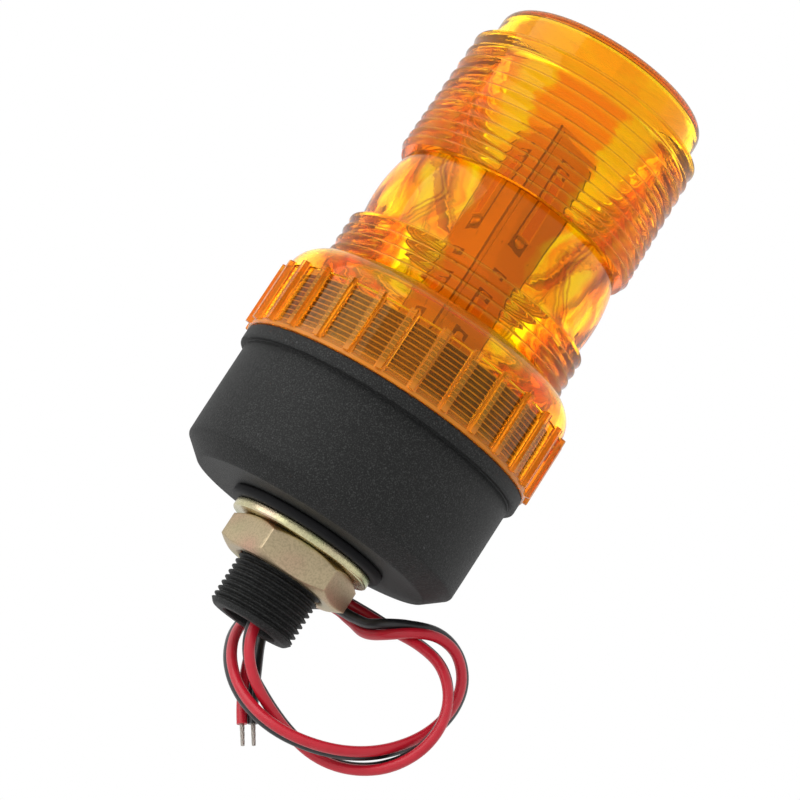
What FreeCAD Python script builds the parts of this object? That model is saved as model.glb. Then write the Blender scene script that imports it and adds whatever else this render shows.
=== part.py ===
"""Amber LED warning beacon with a screw-on prismatic lens and a threaded stem.

Frame: millimetres, +Z along the beacon's axis towards the lens.  The origin is
the centre of the mounting seat, the lower face of the rubber gasket that
presses on the panel.  The stem, its washer and its nut lie below Z = 0.
"""
import FreeCAD, Part
import math
import os
import Sketcher
from FreeCAD import Placement, Rotation, Vector

doc = FreeCAD.newDocument("beacon")

# ---------------------------------------------------------------- sizes, mm
SIZES = {
    # threaded stem with its nut, washer and gasket, each a step beyond the last
    "stem_diameter": 22.0,
    "stem_length": 24.0,
    "stem_wall": 4.1,
    "stem_tip_chamfer": 0.9,
    "nut_wall": 4.0,
    "nut_height": 8.5,
    "nut_chamfer": 1.5,
    "nut_face_step": 0.6,
    "nut_turn": 5.5,
    "washer_margin": 3.5,
    "washer_height": 2.3,
    "gasket_margin": 2.0,
    "gasket_height": 2.4,
    # moulded base, its lip a step out and its neck a step back in
    "base_diameter": 73.8,
    "base_draft": 0.15,
    "base_height": 32.9,
    "chamfer_run": 5.3,
    "chamfer_rise": 4.5,
    "lip_step": 1.5,
    "lip_height": 3.6,
    "wall": 2.4,
    "floor": 3.2,
    "neck_step": 2.4,
    "neck_height": 15.6,
    "neck_land_height": 3.4,
    "thread_depth": 0.9,
    # grip collar of the lens, which screws over the neck
    "collar_wall": 2.7,
    "collar_over_neck": 1.92,
    "rib_count": 28,
    "rib_width": 2.3,
    "rib_depth": 1.22,
    "rib_foot": 0.9,
    "pane_width": 5.2,
    "pane_depth": 0.5,
    "pane_border": 1.0,
    "pane_sill": 0.4,
    "shoulder_step": 3.28,
    "shoulder_radius": 7.5,
    "inner_shoulder_radius": 9.0,
    # prisms and band of the lens, each zone standing on the one below it
    "lower_teeth": 5,
    "lower_rise": 8.7,
    "lower_pitch": 3.0,
    "lower_tooth_depth": 1.25,
    "band_gap": 1.7,
    "band_height": 19.0,
    "band_bottom_step": 2.2,
    "band_top_step": 3.5,
    "band_arc_radius": 38.0,
    "upper_teeth": 11,
    "upper_rise": 2.3,
    "upper_step": 0.7,
    "upper_taper": 0.07,
    "upper_first_pitch": 2.55,
    "upper_pitch_growth": 0.14,
    "upper_tooth_depth": 1.05,
    "crest_blunt": 0.45,
    "riser_draft": 0.25,
    "cap_step": 4.7,
    "cap_height": 10.0,
    "cap_edge_radius": 3.2,
    "cap_crown": 0.6,
    "cap_wall": 2.1,
    "lens_wall": 1.9,
    "lens_top_wall": 2.2,
    # seal under the lens
    "seal_width": 1.25,
    "seal_height": 1.6,
    # driver board, held inside the neck on three bosses
    "board_clearance": 1.2,
    "board_thickness": 1.6,
    "board_rise": 4.7,
    "boss_inset": 4.5,
    "boss_diameter": 7.0,
    "screw_diameter": 3.0,
    "screw_head": 5.6,
    "screw_head_height": 2.0,
    "capacitor_diameter": 10.0,
    "capacitor_height": 16.0,
    "capacitor_inset": 14.0,
    "inductor_diameter": 9.0,
    "inductor_height": 9.0,
    "inductor_cheek": 1.4,
    "inductor_inset": 13.0,
    "chip_inset": 18.5,
    "diode_inset": 12.0,
    "terminal_height": 8.0,
    # square column of four LED boards
    "column_side": 16.0,
    "column_turn": -11.3,
    "column_height": 77.0,
    "column_board": 1.6,
    "column_gap": 0.3,
    "led_width": 3.6,
    "led_length": 7.4,
    "led_thickness": 1.3,
    "led_first": 11.0,
    "led_pitch": 17.5,
    "leds_per_board": 4,
    "top_led_side": 5.0,
    # supply lead and inner wires
    "lead_diameter": 3.5,
    "conductor_diameter": 1.3,
    "conductor_length": 6.5,
    "grommet_head": 2.0,
    "inner_wire_diameter": 2.4,
    "inner_wire_spacing": 4.4,
    # clearances between pieces that turn or fit
    "thread_clearance": 0.08,
    "seat_gap": 0.02,
    "loose_gap": 0.3,
    "cut_end_gap": 0.15,
}

sheet = doc.addObject("Spreadsheet::Sheet", "Sizes")
for row, (alias, number) in enumerate(SIZES.items(), start=1):
    sheet.set(f"A{row}", alias)
    sheet.set(f"B{row}", str(number))
    sheet.setAlias(f"B{row}", alias)
doc.recompute()


class Size:
    """A number together with the sheet expression that gives it."""

    def __init__(self, text, value):
        self.text, self.value = text, float(value)

    @staticmethod
    def of(other):
        return other if isinstance(other, Size) else Size(repr(float(other)), other)

    def __add__(self, other):
        other = Size.of(other)
        return Size(f"({self.text} + {other.text})", self.value + other.value)

    def __sub__(self, other):
        other = Size.of(other)
        return Size(f"({self.text} - {other.text})", self.value - other.value)

    def __mul__(self, other):
        other = Size.of(other)
        return Size(f"({self.text} * {other.text})", self.value * other.value)

    def __truediv__(self, other):
        other = Size.of(other)
        return Size(f"({self.text} / {other.text})", self.value / other.value)

    def __rsub__(self, other):
        return Size.of(other) - self

    __radd__ = __add__
    __rmul__ = __mul__

    def __neg__(self):
        return Size(f"(0 - {self.text})", -self.value)


def size(alias):
    return Size(f"Sizes.{alias}", sheet.get(alias))


def half(alias):
    return size(alias) / 2


def bind(target, path, amount):
    """Binds one property to an amount, which is a Size or a plain number."""
    amount = Size.of(amount)
    target.setExpression(path, amount.text)


# ------------------------------------------------------------ sketch helpers
class Arc:
    """A rounded stretch of an outline, from the corner before it to the next."""

    def __init__(self, radius, clockwise=False):
        self.radius, self.clockwise = Size.of(radius), clockwise


def origin_item(body, role):
    return next(item for item in body.Origin.OriginFeatures if item.Role == role)


def new_body(name):
    body = doc.addObject("PartDesign::Body", name + "_body")
    body.Label = name
    return body


def arc_between(start, end, arc):
    """The circular arc of the given radius, less than half a turn."""
    chord = end - start
    reach = math.sqrt(max(arc.radius.value ** 2 - (chord.Length / 2) ** 2, 0))
    left = Vector(-chord.y, chord.x, 0).normalize()
    side = -1 if arc.clockwise else 1
    centre = (start + end) / 2 + left * reach * side
    first, last = (end, start) if arc.clockwise else (start, end)
    angles = [math.atan2(p.y - centre.y, p.x - centre.x) for p in (first, last)]
    if angles[1] < angles[0]:
        angles[1] += 2 * math.pi
    circle = Part.Circle(centre, Vector(0, 0, 1), arc.radius.value)
    return Part.ArcOfCircle(circle, angles[0], angles[1])


def outline(body, name, plane, items):
    """A closed sketch through corners (two Sizes each), with Arcs between some."""
    sketch = body.newObject("Sketcher::SketchObject", name)
    sketch.AttachmentSupport = [(origin_item(body, plane), "")]
    sketch.MapMode = "FlatFace"
    corners, arc_after = [], {}
    for item in items:
        if isinstance(item, Arc):
            arc_after[len(corners) - 1] = item
        else:
            corners.append(item)
    points = [Vector(Size.of(x).value, Size.of(y).value, 0) for x, y in corners]
    count = len(corners)
    starts, ends = [], []
    for k in range(count):
        start, end = points[k], points[(k + 1) % count]
        arc = arc_after.get(k)
        if arc is None:
            sketch.addGeometry(Part.LineSegment(start, end), False)
        else:
            sketch.addGeometry(arc_between(start, end, arc), False)
        backwards = arc is not None and arc.clockwise
        starts.append(2 if backwards else 1)
        ends.append(1 if backwards else 2)
    for k in range(count):
        following = (k + 1) % count
        link = Sketcher.Constraint("Coincident", k, ends[k], following, starts[following])
        sketch.addConstraint(link)
    for k, arc in arc_after.items():
        index = sketch.addConstraint(Sketcher.Constraint("Radius", k, arc.radius.value))
        bind(sketch, f"Constraints[{index}]", arc.radius)
    for k, corner in enumerate(corners):
        for kind, axis, amount in (("DistanceX", -2, corner[0]), ("DistanceY", -1, corner[1])):
            amount = Size.of(amount)
            if amount.value == 0 and "Sizes" not in amount.text:
                sketch.addConstraint(Sketcher.Constraint("PointOnObject", k, starts[k], axis))
                continue
            rule = Sketcher.Constraint(kind, -1, 1, k, starts[k], amount.value)
            index = sketch.addConstraint(rule)
            bind(sketch, f"Constraints[{index}]", amount)
    return sketch


def round_plan(body, name, radius, x=0, height=0):
    """A circle sketched on a horizontal plane at the given height."""
    sketch = body.newObject("Sketcher::SketchObject", name)
    sketch.AttachmentSupport = [(origin_item(body, "XY_Plane"), "")]
    sketch.MapMode = "FlatFace"
    centre = Vector(Size.of(x).value, 0, 0)
    sketch.addGeometry(Part.Circle(centre, Vector(0, 0, 1), Size.of(radius).value), False)
    rule = Sketcher.Constraint("Radius", 0, Size.of(radius).value)
    bind(sketch, f"Constraints[{sketch.addConstraint(rule)}]", radius)
    sketch.addConstraint(Sketcher.Constraint("PointOnObject", 0, 3, -1))
    if Size.of(x).value == 0:
        sketch.addConstraint(Sketcher.Constraint("PointOnObject", 0, 3, -2))
    else:
        rule = Sketcher.Constraint("DistanceX", -1, 1, 0, 3, centre.x)
        bind(sketch, f"Constraints[{sketch.addConstraint(rule)}]", x)
    lift(sketch, height)
    doc.recompute()
    return sketch


def revolve(body, sketch, kind="Revolution"):
    """Turns a sketch of radius against height about the body's vertical axis."""
    feature = body.newObject("PartDesign::" + kind, sketch.Name + "_" + kind.lower())
    feature.Profile = sketch
    feature.ReferenceAxis = (sketch, ["V_Axis"])
    feature.Angle = 360.0
    sketch.Visibility = False
    return feature


def pad(body, sketch, length, kind="Pad", reverse=False):
    feature = body.newObject("PartDesign::" + kind, sketch.Name + "_" + kind.lower())
    feature.Profile = sketch
    bind(feature, "Length", length)
    feature.Reversed = reverse
    return feature


def lift(sketch, height):
    """Raises a sketch that lies on a horizontal plane."""
    bind(sketch, "AttachmentOffset.Base.z", height)


def polar(body, feature, count, name):
    pattern = body.newObject("PartDesign::PolarPattern", name)
    pattern.Originals = [feature]
    pattern.Axis = (origin_item(body, "Z_Axis"), [""])
    pattern.Angle = 360.0
    bind(pattern, "Occurrences", count)
    body.Tip = pattern
    return pattern


# --------------------------------------------------------- primitive helpers
def named(item, label):
    item.Label = label
    return item


def place(item, x=0, y=0, z=0):
    for axis, amount in zip("xyz", (x, y, z)):
        bind(item, f"Placement.Base.{axis}", amount)
    return item


def cylinder(name, radius, height, x=0, y=0, z=0):
    item = doc.addObject("Part::Cylinder", name)
    bind(item, "Radius", radius)
    bind(item, "Height", height)
    return place(item, x, y, z)


def block(name, length, width, height, x=0, y=0, z=0):
    """A box whose x and y give its middle and z its lower face."""
    item = doc.addObject("Part::Box", name)
    bind(item, "Length", length)
    bind(item, "Width", width)
    bind(item, "Height", height)
    return place(item, Size.of(x) - Size.of(length) / 2, Size.of(y) - Size.of(width) / 2, z)


def cut(name, base, tool):
    item = doc.addObject("Part::Cut", name)
    item.Base, item.Tool = base, tool
    return item


def fuse(name, shapes):
    item = doc.addObject("Part::MultiFuse", name)
    item.Shapes = shapes
    return item


def group(name, shapes):
    item = doc.addObject("Part::Compound", name)
    item.Links = shapes
    return item


def ring(name, outer, inner, height, z):
    return cut(name, cylinder(name + "_outer", outer, height, z=z),
               cylinder(name + "_inner", inner, height, z=z))


nodes = []


def keep(item, label):
    named(item, label)
    nodes.append(item)
    return item


# ------------------------------------------------------------ shared heights
stem_radius = half("stem_diameter")
bore_radius = stem_radius - size("stem_wall")
nut_flat = stem_radius + size("nut_wall")
washer_radius = nut_flat + size("washer_margin")
gasket_radius = washer_radius + size("gasket_margin")
underside = size("gasket_height")
floor_top = underside + size("floor")
lip_top = underside + size("base_height")
lip_bottom = lip_top - size("lip_height")
neck_top = lip_top + size("neck_height")
base_radius = half("base_diameter")
lip_radius = base_radius + size("lip_step")
neck_radius = lip_radius - size("neck_step")
cavity = neck_radius - size("thread_depth") - size("wall")
board_radius = cavity - size("board_clearance")
boss_reach = board_radius - size("boss_inset")
board_bottom = lip_top + size("board_rise")
board_top = board_bottom + size("board_thickness")


# -------------------------------------------------------------- base housing
def base_housing():
    """Shell, threaded neck and hollow stem are one moulding, turned as a profile.

    The threads themselves are plain cylinders at their outer diameter.
    """
    body = new_body("base_housing")
    tip = size("stem_tip_chamfer")
    lower_cavity = base_radius - size("base_draft") - size("wall")
    corner = size("chamfer_run") - size("wall") / 2
    shell = outline(body, "base_profile", "XZ_Plane", [
        (bore_radius, -size("stem_length")),
        (stem_radius - tip, -size("stem_length")),
        (stem_radius, tip - size("stem_length")),
        (stem_radius, underside),
        (base_radius - size("chamfer_run"), underside),
        (base_radius - size("base_draft"), underside + size("chamfer_rise")),
        (base_radius, lip_bottom),
        (lip_radius, lip_bottom),
        (lip_radius, lip_top),
        (neck_radius - size("thread_depth"), lip_top),
        (neck_radius - size("thread_depth"), lip_top + size("neck_land_height")),
        (neck_radius, lip_top + size("neck_land_height") + size("thread_depth") / 2),
        (neck_radius, neck_top - size("thread_depth")),
        (neck_radius - size("thread_depth"), neck_top),
        (cavity, neck_top),
        (cavity, lip_bottom),
        (lower_cavity, lip_bottom - size("wall")),
        (lower_cavity, floor_top + size("chamfer_rise")),
        (lower_cavity - corner, floor_top),
        (bore_radius, floor_top),
    ])
    revolve(body, shell)
    # Three tall bosses carry the driver board, each tied to the wall by a web.
    boss_radius = half("boss_diameter")
    doc.recompute()
    boss = round_plan(body, "boss_plan", boss_radius, boss_reach, floor_top - size("seat_gap"))
    column = pad(body, boss, board_bottom - floor_top + size("seat_gap"))
    polar(body, column, 3, "bosses")
    web_half = size("wall") / 3
    web = outline(body, "web_plan", "XY_Plane", [
        (boss_reach + boss_radius * 0.8, -web_half),
        (lower_cavity + size("wall") / 2, -web_half),
        (lower_cavity + size("wall") / 2, web_half),
        (boss_reach + boss_radius * 0.8, web_half),
    ])
    lift(web, floor_top - size("seat_gap"))
    doc.recompute()
    rib = pad(body, web, lip_bottom - size("wall") * 2 - floor_top)
    polar(body, rib, 3, "boss_webs")
    pilot_radius = half("screw_diameter") - size("thread_clearance")
    pilot = round_plan(body, "pilot_plan", pilot_radius, boss_reach, board_bottom)
    hole = pad(body, pilot, size("screw_diameter") * 3, kind="Pocket")
    polar(body, hole, 3, "pilot_holes")
    return keep(body, "base_housing")


def seat_stack():
    """Rubber gasket on the seat, then the plated washer below it."""
    gap = size("loose_gap")
    gasket = ring("gasket_ring", gasket_radius, stem_radius + gap,
                  size("gasket_height") - size("seat_gap"), 0)
    keep(gasket, "base_gasket")
    washer = ring("washer_ring", washer_radius, stem_radius + gap,
                  size("washer_height"), -size("washer_height") - size("seat_gap"))
    keep(washer, "flat_washer")


def hex_nut():
    """Hexagon with both faces chamfered round, so that its corners fall away."""
    body = new_body("hex_nut")
    corner_radius = nut_flat * 2 / math.sqrt(3)
    top = -size("washer_height") - size("seat_gap") * 2
    bottom = top - size("nut_height")
    corners = []
    for k in range(6):
        angle = math.radians(SIZES["nut_turn"] + 60 * k)
        corners.append((corner_radius * math.cos(angle), corner_radius * math.sin(angle)))
    plan = outline(body, "nut_plan", "XY_Plane", corners)
    lift(plan, bottom)
    doc.recompute()
    pad(body, plan, size("nut_height"))
    flat = nut_flat - size("nut_face_step")
    slope = size("nut_chamfer")
    reach = corner_radius + 1
    rise = slope * (reach - flat) / (corner_radius - flat)
    for name, level, way in (("upper", top, -1), ("lower", bottom, 1)):
        shape = outline(body, f"nut_{name}_chamfer", "XZ_Plane", [
            (flat, level - 0.001 * way),
            (reach, level - 0.001 * way),
            (reach, level + rise * way),
        ])
        doc.recompute()
        revolve(body, shape, "Groove")
    bore = stem_radius + size("thread_clearance")
    hole = round_plan(body, "nut_bore", bore, height=top)
    pad(body, hole, size("nut_height"), kind="Pocket")
    return keep(body, "hex_nut")


# ---------------------------------------------------------------------- lens
def upper_crests(first):
    """Heights of the upper crests from the lowest up, each step a little wider."""
    level = first
    step = size("upper_first_pitch")
    levels = []
    for _ in range(int(SIZES["upper_teeth"])):
        levels.append(level)
        level = level + step
        step = step + size("upper_pitch_growth")
    return levels


def lens():
    """One moulding: ribbed grip collar, shoulder, two prismatic zones, clear band."""
    body = new_body("lens")
    bore = neck_radius + size("thread_clearance")
    rim = bore + size("collar_wall")
    bottom = lip_top + size("seat_gap")
    foot = bottom + size("rib_foot")
    rib_top = neck_top + size("collar_over_neck")
    recess = bore + size("seal_width") + size("thread_clearance")
    recess_top = bottom + size("seal_height") + size("thread_clearance")
    lower_crest = bore - size("shoulder_step")
    lower_root = lower_crest - size("lower_tooth_depth")
    blunt, draft = size("crest_blunt"), size("riser_draft")
    lower_first = neck_top + size("lower_rise")
    shoulder_top = lower_first - size("lower_pitch") * 0.7
    lower_last = lower_first + size("lower_pitch") * (size("lower_teeth") - 1)
    band_low = lower_last + size("band_gap")
    band_high = band_low + size("band_height")
    band_top = lower_crest - size("band_top_step")
    crests = upper_crests(band_high + size("upper_rise"))
    inner = band_top - size("lens_wall")
    outside = [
        (recess, bottom),
        (rim, bottom),
        (rim, rib_top),
        Arc(size("shoulder_radius")),
        (lower_root - 0.2, shoulder_top),
    ]
    # Each tooth: a face leaning outwards as it rises, a blunt crest, a flat riser.
    for k in range(int(SIZES["lower_teeth"])):
        level = lower_first + size("lower_pitch") * k
        outside += [(lower_crest, level - blunt), (lower_crest, level), (lower_root, level + draft)]
    outside.pop()
    band_bottom = lower_crest - size("band_bottom_step")
    outside += [
        (band_bottom, lower_last + draft),
        (band_bottom, band_low),
        Arc(size("band_arc_radius")),
        (band_top, band_high),
    ]
    depth = size("upper_tooth_depth")
    for k, level in enumerate(crests):
        crest = lower_crest - size("upper_step") - size("upper_taper") * k
        start = band_high if k == 0 else crests[k - 1] + draft
        outside += [(crest - depth, start), (crest, level - blunt / 2), (crest, level)]
    cap = lower_crest - size("cap_step")
    top = crests[-1] + size("cap_height")
    edge = size("cap_edge_radius")
    outside += [
        (cap, crests[-1] + draft),
        (cap, top - edge),
        Arc(edge),
        (cap - edge, top),
        (0, top + size("cap_crown")),
    ]
    inner_top = top - size("lens_top_wall")
    cap_inner = cap - size("cap_wall")
    inside = [
        (0, inner_top + size("cap_crown")),
        (cap_inner - edge / 2, inner_top),
        Arc(edge / 2, clockwise=True),
        (cap_inner, inner_top - edge / 2),
        (cap_inner, crests[-1] - 1.0),
        (inner, crests[-2] - 1.0),
        (inner + 0.3, shoulder_top),
        Arc(size("inner_shoulder_radius"), clockwise=True),
        (bore, neck_top + 1.0),
        (bore, recess_top),
        (recess, recess_top),
    ]
    revolve(body, outline(body, "lens_profile", "XZ_Plane", outside + inside))
    # Grip ribs round the collar, and a recessed pane between each two of them.
    half_rib = half("rib_width")
    rib_plan = outline(body, "rib_plan", "XY_Plane", [
        (rim - 0.4, -half_rib),
        (rim + size("rib_depth"), -half_rib),
        (rim + size("rib_depth"), half_rib),
        (rim - 0.4, half_rib),
    ])
    lift(rib_plan, foot)
    doc.recompute()
    polar(body, pad(body, rib_plan, rib_top - foot), size("rib_count"), "grip_ribs")
    turn = math.pi / SIZES["rib_count"]
    along = Vector(math.cos(turn), math.sin(turn), 0)
    across = Vector(-along.y, along.x, 0)
    near = rim - size("pane_depth")
    far = rim + 1
    side = half("pane_width")
    corners = []
    for reach, offset in ((near, -side), (far, -side), (far, side), (near, side)):
        corners.append((reach * along.x + offset * across.x, reach * along.y + offset * across.y))
    pane = outline(body, "pane_plan", "XY_Plane", corners)
    lift(pane, rib_top - size("pane_border"))
    doc.recompute()
    tall = rib_top - size("pane_border") - size("pane_sill") - foot
    polar(body, pad(body, pane, tall, kind="Pocket"), size("rib_count"), "panes")
    keep(body, "lens")
    seal = ring("seal_ring", recess - size("thread_clearance"), bore + 0.12,
                size("seal_height") - size("seat_gap"), lip_top + size("seat_gap"))
    keep(seal, "lens_seal")


# --------------------------------------------------------------- electronics
def driver_board():
    """Round board screwed to the bosses, with its parts hanging underneath."""
    gap = size("seat_gap")
    disc = cylinder("board_disc", board_radius, size("board_thickness") - gap,
                    z=board_bottom + gap)
    shank_length = size("screw_diameter") * 2.4
    holes, screws = [], []
    for k in range(3):
        angle = math.radians(120 * k)
        x, y = boss_reach * math.cos(angle), boss_reach * math.sin(angle)
        holes.append(cylinder(f"board_hole_{k}", half("screw_diameter") + 0.2,
                              size("board_thickness") * 2, x, y, board_bottom - gap))
        shank = cylinder(f"screw_shank_{k}", half("screw_diameter") - 0.15, shank_length,
                         x, y, board_top + gap - shank_length)
        head = cylinder(f"screw_head_{k}", half("screw_head"), size("screw_head_height"),
                        x, y, board_top + gap)
        drive = block(f"screw_drive_{k}", half("screw_head"), 0.8, size("screw_head_height"),
                      x, y, board_top + size("screw_head_height") * 0.6)
        screws.append(cut(f"screw_{k}", fuse(f"screw_blank_{k}", [shank, head]), drive))
    keep(cut("board_plate", disc, fuse("board_holes", holes)), "driver_board")
    keep(group("screws", screws), "board_screws")
    board_parts(board_bottom - gap)


def board_parts(face):
    """The parts under the board, each hung from the given height."""
    reach = board_radius - size("capacitor_inset")
    angle = math.radians(149)
    can = cylinder("can_body", half("capacitor_diameter"), size("capacitor_height"),
                   reach * math.cos(angle), reach * math.sin(angle),
                   face - size("capacitor_height"))
    keep(can, "electrolytic_capacitor")
    reach = board_radius - size("inductor_inset")
    angle = math.radians(40.6)
    x, y = reach * math.cos(angle), reach * math.sin(angle)
    cheek = size("inductor_cheek")
    low = face - size("inductor_height")
    core = [
        cylinder("core_low", half("inductor_diameter"), cheek, x, y, low),
        cylinder("core_waist", half("inductor_diameter") * 0.8, size("inductor_height"), x, y, low),
        cylinder("core_high", half("inductor_diameter"), cheek, x, y, face - cheek),
    ]
    keep(fuse("drum_core", core), "drum_inductor")
    keep(block("chip_body", 5.0, 4.0, 1.6, 0, size("chip_inset") - board_radius, face - 1.6),
         "controller_chip")
    diodes = [block(f"diode_{k}", 4.4, 2.6, 2.2, -7 + 7 * k, size("diode_inset") - board_radius,
                    face - 2.2)
              for k in range(4)]
    keep(group("diodes", diodes), "rectifier_diodes")
    resistors = [block(f"resistor_{k}", 1.7, 3.2, 0.6, 11 + 3.5 * k, -8, face - 0.6)
                 for k in range(4)]
    keep(group("resistors", resistors), "chip_resistors")
    terminal = block("terminal_body", 10.2, 7.0, size("terminal_height"), 0, 0,
                     face - size("terminal_height"))
    keep(terminal, "lead_terminal")


def led_column():
    """Four boards round a square column, each with a row of packages."""
    side = half("column_side")
    thick = size("column_board")
    foot = board_top + size("seat_gap")
    width = size("column_side") - thick - size("column_gap")
    names = ("front", "right", "back", "left")
    for k, name in enumerate(names):
        board = block(f"column_{name}", width, thick, size("column_height"),
                      side - width / 2, thick / 2 - side, foot)
        angle = size("column_turn") + 45 + 90 * k
        keep(about_axis(board, angle, f"turned_column_{name}"), f"led_board_{name}")
        chips = []
        for row in range(int(SIZES["leds_per_board"])):
            middle = foot + size("led_first") + size("led_pitch") * row
            chips.append(block(f"led_{name}_{row}", size("led_width"), size("led_thickness"),
                               size("led_length"), 0,
                               -side - size("led_thickness") / 2 - size("seat_gap"),
                               middle - size("led_length") / 2))
        row_of_chips = group(f"leds_{name}", chips)
        keep(about_axis(row_of_chips, angle, f"turned_leds_{name}"), f"led_chips_{name}")
    top = foot + size("column_height") + size("seat_gap")
    cap = block("column_cap", size("column_side"), size("column_side"), thick, 0, 0, top)
    turn = size("column_turn") + 45
    keep(about_axis(cap, turn, "turned_cap"), "column_top_board")
    lamp = block("top_led", size("top_led_side"), size("top_led_side"),
                 size("led_thickness"), 0, 0, top + thick + size("seat_gap"))
    keep(about_axis(lamp, turn, "turned_top_led"), "top_led_chip")


def about_axis(item, degrees, name):
    """A copy of an item in a compound, turned about the beacon's axis."""
    holder = group(name, [item])
    holder.Placement = Placement(Vector(0, 0, 0), Rotation(Vector(0, 0, 1), 1.0))
    bind(holder, "Placement.Rotation.Angle", Size.of(degrees))
    return holder


# ----------------------------------------------------------------- the leads
# Points of the supply lead, in order from the stem's bore to its free end: it
# leaves the bore, makes two loose turns beside the stem and ends below it.
LEAD_ROUTE = [
    (0.0, 0.0, -4.0), (0.5, 0.2, -12.0), (0.2, -0.5, -20.0), (1.8, -1.6, -27.6),
    (6.4, -1.8, -33.2), (13.2, 0.2, -36.8), (21.4, 2.2, -39.8), (30.0, 2.8, -41.2),
    (38.2, 1.6, -39.4), (45.2, -0.8, -34.6), (49.6, -2.8, -27.6), (50.8, -2.8, -19.6),
    (48.6, -0.6, -12.2), (43.6, 2.8, -6.8), (36.8, 7.2, -4.9), (29.6, 12.8, -4.8),
    (22.6, 19.0, -4.0), (15.2, 24.8, -3.6), (8.0, 28.4, -6.2), (2.2, 28.8, -11.8),
    (-1.0, 26.2, -18.0), (-2.0, 20.8, -23.6), (-1.2, 14.2, -28.6), (1.4, 8.0, -33.4),
    (5.8, 2.4, -37.6), (11.8, -2.2, -40.4), (19.0, -5.2, -41.4), (26.6, -6.0, -40.4),
    (34.0, -4.6, -37.8), (40.6, -1.6, -33.6), (46.0, 2.0, -28.2), (50.0, 5.0, -22.0),
    (52.0, 7.2, -15.0), (51.4, 8.4, -7.2), (46.0, 8.4, -1.0), (37.8, 7.2, 0.6),
    (30.4, 6.8, -3.2), (24.6, 10.2, -7.4), (20.2, 15.8, -9.8), (14.4, 19.8, -12.0),
    (8.6, 21.0, -17.0), (5.2, 18.6, -23.6), (4.6, 14.6, -29.8), (6.0, 10.8, -35.0),
    (8.2, 8.2, -38.8), (10.4, 6.8, -41.4), (12.4, 5.6, -43.4),
]


def lead_path(points):
    """Straight runs joined by tangent arcs; returns the wire and the radii."""
    corners = [Vector(*point) for point in points]
    edges, radii = [], []
    start = corners[0]
    for before, here, after in zip(corners, corners[1:], corners[2:]):
        back, on = (before - here), (after - here)
        shorter = min(back.Length, on.Length)
        back.normalize()
        on.normalize()
        half_turn = (math.pi - back.getAngle(on)) / 2
        trim = 0.45 * shorter
        radius = trim / math.tan(half_turn)
        entry, leave = here + back * trim, here + on * trim
        inward = (back + on).normalize()
        middle = here + inward * (radius / math.cos(half_turn) - radius)
        edges.append(Part.LineSegment(start, entry).toShape())
        edges.append(Part.Arc(entry, middle, leave).toShape())
        radii.append(radius)
        start = leave
    edges.append(Part.LineSegment(start, corners[-1]).toShape())
    return Part.Wire(edges), radii


def leads():
    lead_radius = half("lead_diameter").value
    wire, radii = lead_path(LEAD_ROUTE)
    first = Vector(*LEAD_ROUTE[0])
    heading = Vector(*LEAD_ROUTE[1]) - first
    section = Part.Wire(Part.makeCircle(lead_radius, first, heading))
    tube = wire.makePipeShell([section], True, False, 1)
    print("lead length", round(wire.Length, 1), "radii from", round(min(radii), 1),
          "to", round(max(radii), 1))
    expected = math.pi * lead_radius ** 2 * wire.Length
    print("lead volume over section times length", round(tube.Volume / expected, 4))
    lead = doc.addObject("Part::Feature", "lead_tube")
    lead.Shape = tube
    lead.Placement = Placement()
    keep(lead, "twin_lead")

    # The two tinned conductors start at the cut end of the lead, side by side.
    end = Vector(*LEAD_ROUTE[-1])
    way = (end - Vector(*LEAD_ROUTE[-2])).normalize()
    across = way.cross(Vector(0, 1, 0)).normalize()
    radius = half("conductor_diameter").value
    ends = []
    for side in (-1, 1):
        base = end + way * SIZES["seat_gap"] + across * side * lead_radius / 2
        ends.append(Part.makeCylinder(radius, SIZES["conductor_length"], base,
                                      way + across * side * 0.1))
    stripped = doc.addObject("Part::Feature", "conductors")
    stripped.Shape = Part.makeCompound(ends)
    stripped.Placement = Placement()
    keep(stripped, "stripped_ends")

    # A rubber plug holds the lead at the top of the bore; two wires go on up.
    low = LEAD_ROUTE[0][2] + SIZES["cut_end_gap"]
    seat = floor_top + size("seat_gap")
    plug = cylinder("plug_barrel", bore_radius - size("seat_gap"), seat - low, z=low)
    head = cylinder("plug_head", bore_radius + size("grommet_head"), size("grommet_head"), z=seat)
    keep(fuse("plug", [plug, head]), "lead_grommet")
    wires = []
    wire_low = seat + size("grommet_head") + size("seat_gap")
    wire_high = board_bottom - size("terminal_height") - size("seat_gap") * 2
    for k, side in enumerate((-1, 1)):
        wires.append(cylinder(f"inner_wire_{k}", half("inner_wire_diameter"),
                              wire_high - wire_low, x=half("inner_wire_spacing") * side,
                              z=wire_low))
    keep(group("inner_wires", wires), "inner_leads")


base_housing()
seat_stack()
hex_nut()
lens()
driver_board()
led_column()
leads()
doc.recompute()

# ------------------------------------------------------------------- writing
for item in doc.Objects:
    if {"Invalid", "Error"} & set(item.State):
        raise RuntimeError(f"{item.Label} failed: {item.State}")
os.makedirs("parts", exist_ok=True)
for node in nodes:
    if node.Shape.isNull() or not node.Shape.isValid() or not node.Shape.Solids:
        raise RuntimeError(f"{node.Label} has no valid solid")
for node in nodes:
    node.Shape.exportStep(f"parts/{node.Label}.step")
    box = node.Shape.BoundBox
    print(f"{node.Label:24s} solids {len(node.Shape.Solids):2d} volume {node.Shape.Volume:9.1f}"
          f"  Z {box.ZMin:7.2f} to {box.ZMax:7.2f}")
print(len(nodes), "nodes written")
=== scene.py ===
# %% [markdown]
# # Amber warning beacon
# The beacon stands on its threaded stem: a black moulded base, a screwed-on
# amber lens with prism rings, and a column of LED boards inside. The packed
# CAD model is loaded first, as a frame that never moves. Every visible piece
# is then modelled or finished in the frame's own place, in metres.

# %% Load the frame
import math

import bmesh
import bpy
from mathutils import Matrix, Quaternion, Vector, noise


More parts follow.
